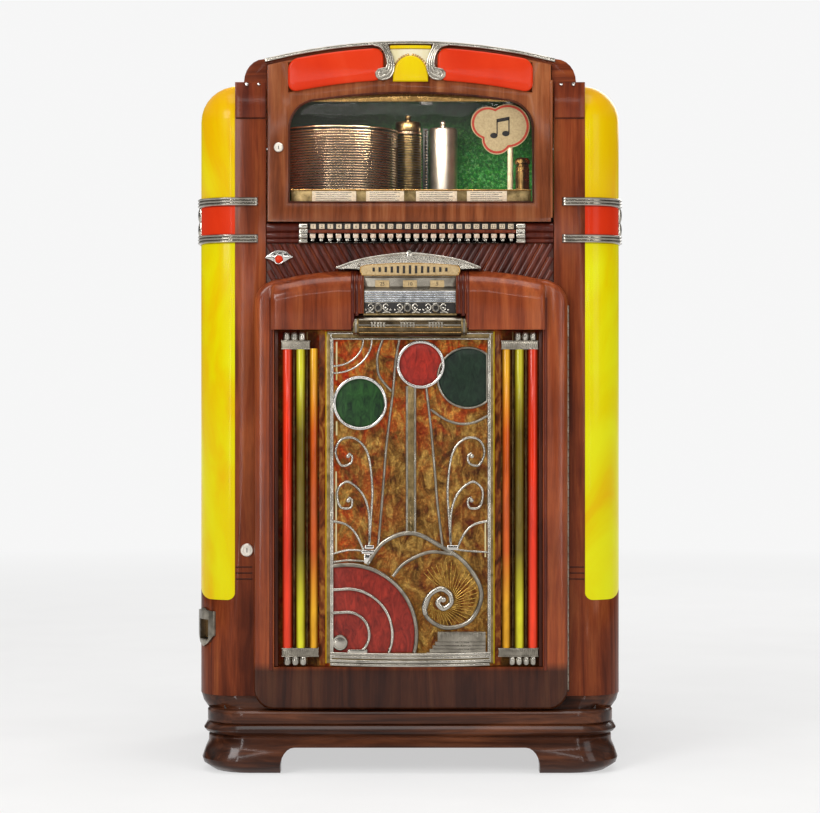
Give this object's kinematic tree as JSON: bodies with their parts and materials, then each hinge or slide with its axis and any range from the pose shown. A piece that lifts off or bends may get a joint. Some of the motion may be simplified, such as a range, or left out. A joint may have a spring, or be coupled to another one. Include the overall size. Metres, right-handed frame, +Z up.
{
  "type": "jukebox",
  "caption": "Floor-standing wooden jukebox with lit corner plastics, a window on its record changer, a row of selector keys, and a pierced metal grille between lit tubes.",
  "frame": {"origin": "On the floor, under the middle of the cabinet's overall box.", "axes": "+X is the player's right, +Y points from the front to the back, +Z is up."},
  "size_m": [0.864, 0.66, 1.46],
  "materials": {
    "walnut": "lacquered walnut veneer, satin to gloss, worn at the edges",
    "dark_walnut": "dark stained solid walnut, satin lacquer",
    "yellow_plastic": "translucent marbled yellow plastic, lit from behind",
    "red_plastic": "translucent red plastic, lit from behind",
    "nickel": "cast metal with aged nickel plate",
    "polished_nickel": "polished nickel plate",
    "brass": "aged brass",
    "gold_screen": "woven gold and red speaker screen",
    "tube_plastic": "coloured lit tubes in nickel-plated caps",
    "ivory_plastic": "ivory plastic, yellowed",
    "glass": "clear window glass",
    "black_steel": "black enamelled steel",
    "bare_steel": "bare machined steel",
    "record_shellac": "black shellac discs on steel trays"
  },
  "bodies": {
    "cabinet": {"side_panel_left": "walnut", "side_panel_right": "walnut", "roof_panel": "walnut", "base_plinth": "dark_walnut", "header_panel": "dark_walnut", "corner_lens_left_upper": "yellow_plastic", "corner_lens_right_upper": "yellow_plastic", "corner_lens_left_lower": "yellow_plastic", "corner_lens_right_lower": "yellow_plastic", "band_trim_left": "nickel", "band_trim_right": "nickel", "keyboard_rail": "dark_walnut", "mechanism_deck": "black_steel", "record_tray_stack": "record_shellac", "loudspeaker": "black_steel", "amplifier": "black_steel", "coin_return_cup": "nickel"},
    "display_door": {"display_door_frame": "walnut", "display_glass": "glass", "crown_lens": "red_plastic"},
    "front_door": {"front_door_frame": "walnut", "coin_head_casting": "nickel", "grille_casting": "nickel", "grille_backing": "gold_screen", "tube_rack_left": "tube_plastic", "tube_rack_right": "tube_plastic"},
    "back_door": {"back_door": "dark_walnut"},
    "coin_return_flap": {"coin_return_flap": "brass"},
    "coin_slide_left": {"coin_slide_left": "polished_nickel"},
    "coin_slide_centre": {"coin_slide_centre": "polished_nickel"},
    "coin_slide_right": {"coin_slide_right": "polished_nickel"},
    "record_tray": {"record_tray": "bare_steel"},
    "tonearm": {"tonearm": "bare_steel"},
    "lift_shaft": {"turntable_shaft": "bare_steel"},
    "turntable": {"turntable": "black_steel"},
    "key_01": {"selector_key_01": "ivory_plastic"},
    "key_02": {"selector_key_02": "ivory_plastic"},
    "key_03": {"selector_key_03": "ivory_plastic"},
    "key_04": {"selector_key_04": "ivory_plastic"},
    "key_05": {"selector_key_05": "ivory_plastic"},
    "key_06": {"selector_key_06": "ivory_plastic"},
    "key_07": {"selector_key_07": "ivory_plastic"},
    "key_08": {"selector_key_08": "ivory_plastic"},
    "key_09": {"selector_key_09": "ivory_plastic"},
    "key_10": {"selector_key_10": "ivory_plastic"},
    "key_11": {"selector_key_11": "ivory_plastic"},
    "key_12": {"selector_key_12": "ivory_plastic"},
    "key_13": {"selector_key_13": "ivory_plastic"},
    "key_14": {"selector_key_14": "ivory_plastic"},
    "key_15": {"selector_key_15": "ivory_plastic"},
    "key_16": {"selector_key_16": "ivory_plastic"},
    "key_17": {"selector_key_17": "ivory_plastic"},
    "key_18": {"selector_key_18": "ivory_plastic"},
    "key_19": {"selector_key_19": "ivory_plastic"},
    "key_20": {"selector_key_20": "ivory_plastic"},
    "key_21": {"selector_key_21": "ivory_plastic"},
    "key_22": {"selector_key_22": "ivory_plastic"},
    "key_23": {"selector_key_23": "ivory_plastic"},
    "key_24": {"selector_key_24": "ivory_plastic"}
  },
  "joints": [
    {"name": "display_door_hinge", "type": "hinge", "parent": "cabinet", "child": "display_door", "pos_m": [0.282, -0.283, 1.24], "axis": [0, 0, 1], "range_deg": [0, 100]},
    {"name": "front_door_hinge", "type": "hinge", "parent": "cabinet", "child": "front_door", "pos_m": [0.314, -0.28, 0.54], "axis": [0, 0, 1], "range_deg": [0, 90]},
    {"name": "back_door_hinge", "type": "hinge", "parent": "cabinet", "child": "back_door", "pos_m": [0.4, 0.317, 0.72], "axis": [0, 0, -1], "range_deg": [0, 110]},
    {"name": "coin_return_flap_hinge", "type": "hinge", "parent": "cabinet", "child": "coin_return_flap", "pos_m": [-0.40451, -0.2314, 0.3], "axis": [0.5446, -0.8387, 0], "range_deg": [0, 50]},
    {"name": "coin_slide_left_push", "type": "slide", "parent": "front_door", "child": "coin_slide_left", "axis": [0, 1, 0], "range_m": [0, 0.025], "stiffness_N_per_m": 150, "springref_m": -0.01},
    {"name": "coin_slide_centre_push", "type": "slide", "parent": "front_door", "child": "coin_slide_centre", "axis": [0, 1, 0], "range_m": [0, 0.025], "stiffness_N_per_m": 150, "springref_m": -0.01},
    {"name": "coin_slide_right_push", "type": "slide", "parent": "front_door", "child": "coin_slide_right", "axis": [0, 1, 0], "range_m": [0, 0.025], "stiffness_N_per_m": 150, "springref_m": -0.01},
    {"name": "record_tray_swing", "type": "hinge", "parent": "cabinet", "child": "record_tray", "pos_m": [-0.004, 0.04, 1.3075], "axis": [0, 0, 1], "range_deg": [0, 105]},
    {"name": "tonearm_swing", "type": "hinge", "parent": "cabinet", "child": "tonearm", "pos_m": [0.215, 0.06, 1.382], "axis": [0, 0, 1], "range_deg": [0, 25]},
    {"name": "turntable_lift", "type": "slide", "parent": "cabinet", "child": "lift_shaft", "axis": [0, 0, 1], "range_m": [0, 0.15]},
    {"name": "turntable_spin", "type": "hinge", "parent": "lift_shaft", "child": "turntable", "pos_m": [0.0725, -0.0925, 1.155], "axis": [0, 0, 1], "continuous": true},
    {"name": "key_01_press", "type": "hinge", "parent": "cabinet", "child": "key_01", "pos_m": [-0.19346, -0.18, 1.062], "axis": [1, 0, 0], "range_deg": [0, 3], "stiffness_Nm_per_rad": 0.3, "springref_deg": -11.46},
    {"name": "key_02_press", "type": "hinge", "parent": "cabinet", "child": "key_02", "pos_m": [-0.17629, -0.18, 1.062], "axis": [1, 0, 0], "range_deg": [0, 3], "stiffness_Nm_per_rad": 0.3, "springref_deg": -11.46},
    {"name": "key_03_press", "type": "hinge", "parent": "cabinet", "child": "key_03", "pos_m": [-0.15912, -0.18, 1.062], "axis": [1, 0, 0], "range_deg": [0, 3], "stiffness_Nm_per_rad": 0.3, "springref_deg": -11.46},
    {"name": "key_04_press", "type": "hinge", "parent": "cabinet", "child": "key_04", "pos_m": [-0.14195, -0.18, 1.062], "axis": [1, 0, 0], "range_deg": [0, 3], "stiffness_Nm_per_rad": 0.3, "springref_deg": -11.46},
    {"name": "key_05_press", "type": "hinge", "parent": "cabinet", "child": "key_05", "pos_m": [-0.12478, -0.18, 1.062], "axis": [1, 0, 0], "range_deg": [0, 3], "stiffness_Nm_per_rad": 0.3, "springref_deg": -11.46},
    {"name": "key_06_press", "type": "hinge", "parent": "cabinet", "child": "key_06", "pos_m": [-0.10761, -0.18, 1.062], "axis": [1, 0, 0], "range_deg": [0, 3], "stiffness_Nm_per_rad": 0.3, "springref_deg": -11.46},
    {"name": "key_07_press", "type": "hinge", "parent": "cabinet", "child": "key_07", "pos_m": [-0.09044, -0.18, 1.062], "axis": [1, 0, 0], "range_deg": [0, 3], "stiffness_Nm_per_rad": 0.3, "springref_deg": -11.46},
    {"name": "key_08_press", "type": "hinge", "parent": "cabinet", "child": "key_08", "pos_m": [-0.07327, -0.18, 1.062], "axis": [1, 0, 0], "range_deg": [0, 3], "stiffness_Nm_per_rad": 0.3, "springref_deg": -11.46},
    {"name": "key_09_press", "type": "hinge", "parent": "cabinet", "child": "key_09", "pos_m": [-0.0561, -0.18, 1.062], "axis": [1, 0, 0], "range_deg": [0, 3], "stiffness_Nm_per_rad": 0.3, "springref_deg": -11.46},
    {"name": "key_10_press", "type": "hinge", "parent": "cabinet", "child": "key_10", "pos_m": [-0.03893, -0.18, 1.062], "axis": [1, 0, 0], "range_deg": [0, 3], "stiffness_Nm_per_rad": 0.3, "springref_deg": -11.46},
    {"name": "key_11_press", "type": "hinge", "parent": "cabinet", "child": "key_11", "pos_m": [-0.02176, -0.18, 1.062], "axis": [1, 0, 0], "range_deg": [0, 3], "stiffness_Nm_per_rad": 0.3, "springref_deg": -11.46},
    {"name": "key_12_press", "type": "hinge", "parent": "cabinet", "child": "key_12", "pos_m": [-0.00459, -0.18, 1.062], "axis": [1, 0, 0], "range_deg": [0, 3], "stiffness_Nm_per_rad": 0.3, "springref_deg": -11.46},
    {"name": "key_13_press", "type": "hinge", "parent": "cabinet", "child": "key_13", "pos_m": [0.01259, -0.18, 1.062], "axis": [1, 0, 0], "range_deg": [0, 3], "stiffness_Nm_per_rad": 0.3, "springref_deg": -11.46},
    {"name": "key_14_press", "type": "hinge", "parent": "cabinet", "child": "key_14", "pos_m": [0.02976, -0.18, 1.062], "axis": [1, 0, 0], "range_deg": [0, 3], "stiffness_Nm_per_rad": 0.3, "springref_deg": -11.46},
    {"name": "key_15_press", "type": "hinge", "parent": "cabinet", "child": "key_15", "pos_m": [0.04693, -0.18, 1.062], "axis": [1, 0, 0], "range_deg": [0, 3], "stiffness_Nm_per_rad": 0.3, "springref_deg": -11.46},
    {"name": "key_16_press", "type": "hinge", "parent": "cabinet", "child": "key_16", "pos_m": [0.06409, -0.18, 1.062], "axis": [1, 0, 0], "range_deg": [0, 3], "stiffness_Nm_per_rad": 0.3, "springref_deg": -11.46},
    {"name": "key_17_press", "type": "hinge", "parent": "cabinet", "child": "key_17", "pos_m": [0.08127, -0.18, 1.062], "axis": [1, 0, 0], "range_deg": [0, 3], "stiffness_Nm_per_rad": 0.3, "springref_deg": -11.46},
    {"name": "key_18_press", "type": "hinge", "parent": "cabinet", "child": "key_18", "pos_m": [0.09844, -0.18, 1.062], "axis": [1, 0, 0], "range_deg": [0, 3], "stiffness_Nm_per_rad": 0.3, "springref_deg": -11.46},
    {"name": "key_19_press", "type": "hinge", "parent": "cabinet", "child": "key_19", "pos_m": [0.11561, -0.18, 1.062], "axis": [1, 0, 0], "range_deg": [0, 3], "stiffness_Nm_per_rad": 0.3, "springref_deg": -11.46},
    {"name": "key_20_press", "type": "hinge", "parent": "cabinet", "child": "key_20", "pos_m": [0.13278, -0.18, 1.062], "axis": [1, 0, 0], "range_deg": [0, 3], "stiffness_Nm_per_rad": 0.3, "springref_deg": -11.46},
    {"name": "key_21_press", "type": "hinge", "parent": "cabinet", "child": "key_21", "pos_m": [0.14995, -0.18, 1.062], "axis": [1, 0, 0], "range_deg": [0, 3], "stiffness_Nm_per_rad": 0.3, "springref_deg": -11.46},
    {"name": "key_22_press", "type": "hinge", "parent": "cabinet", "child": "key_22", "pos_m": [0.16712, -0.18, 1.062], "axis": [1, 0, 0], "range_deg": [0, 3], "stiffness_Nm_per_rad": 0.3, "springref_deg": -11.46},
    {"name": "key_23_press", "type": "hinge", "parent": "cabinet", "child": "key_23", "pos_m": [0.18429, -0.18, 1.062], "axis": [1, 0, 0], "range_deg": [0, 3], "stiffness_Nm_per_rad": 0.3, "springref_deg": -11.46},
    {"name": "key_24_press", "type": "hinge", "parent": "cabinet", "child": "key_24", "pos_m": [0.20146, -0.18, 1.062], "axis": [1, 0, 0], "range_deg": [0, 3], "stiffness_Nm_per_rad": 0.3, "springref_deg": -11.46}
  ]
}
